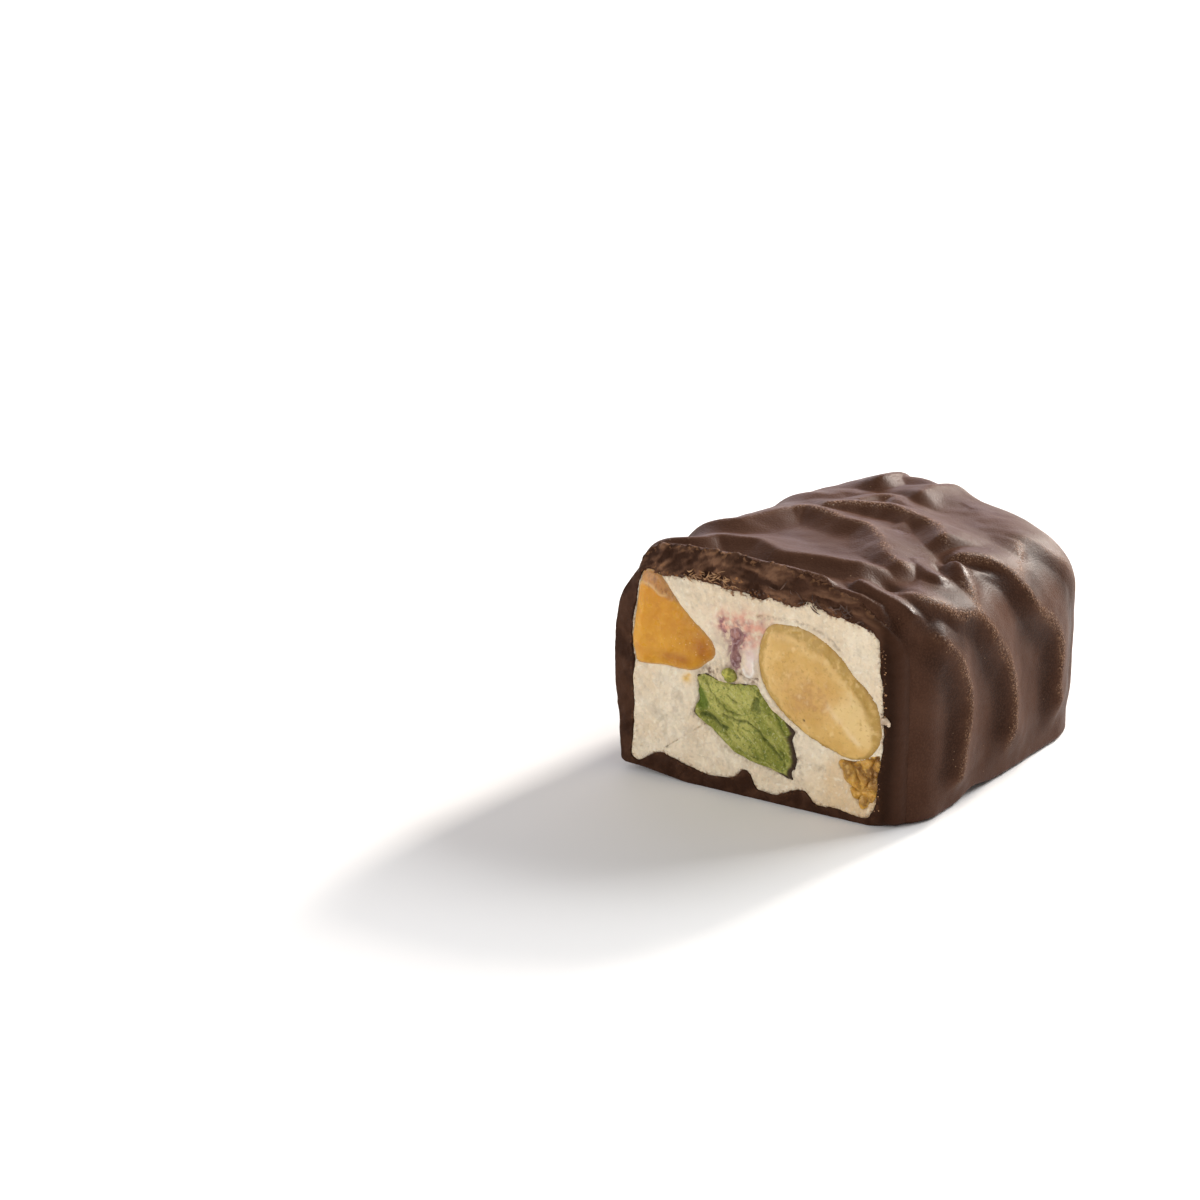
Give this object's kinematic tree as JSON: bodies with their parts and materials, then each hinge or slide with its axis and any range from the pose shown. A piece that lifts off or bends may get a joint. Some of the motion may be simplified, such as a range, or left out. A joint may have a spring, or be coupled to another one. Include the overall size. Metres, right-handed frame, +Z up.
{
  "type": "nougat bar",
  "caption": "Cut piece of a nougat bar: rippled dark coating, open at a flat cut face that shows a pale filling with almond, pistachio, candied orange, berry and brittle.",
  "frame": {"origin": "middle of the base, in the middle of the piece's bounding box", "axes": "+Z up; +Y from the cut face to the rounded end; +X to the fluted side that lies right of the cut face as one looks at it"},
  "size_m": [0.0386, 0.0448, 0.026],
  "materials": {
    "coating": "satin dark chocolate",
    "nougat": "matte aerated sugar, cut",
    "almond": "smooth waxy blanched kernel",
    "pistachio": "matte cut kernel with thin dark skin",
    "candied_orange": "moist translucent fruit",
    "berry": "dried fruit, dull",
    "brittle": "glassy caramel crumbs"
  },
  "bodies": {
    "root": {"coating": "coating", "nougat": "nougat", "almond": "almond", "pistachio": "pistachio", "pistachio_crumb": "pistachio", "candied_orange": "candied_orange", "berry": "berry", "brittle": "brittle"}
  },
  "joints": []
}
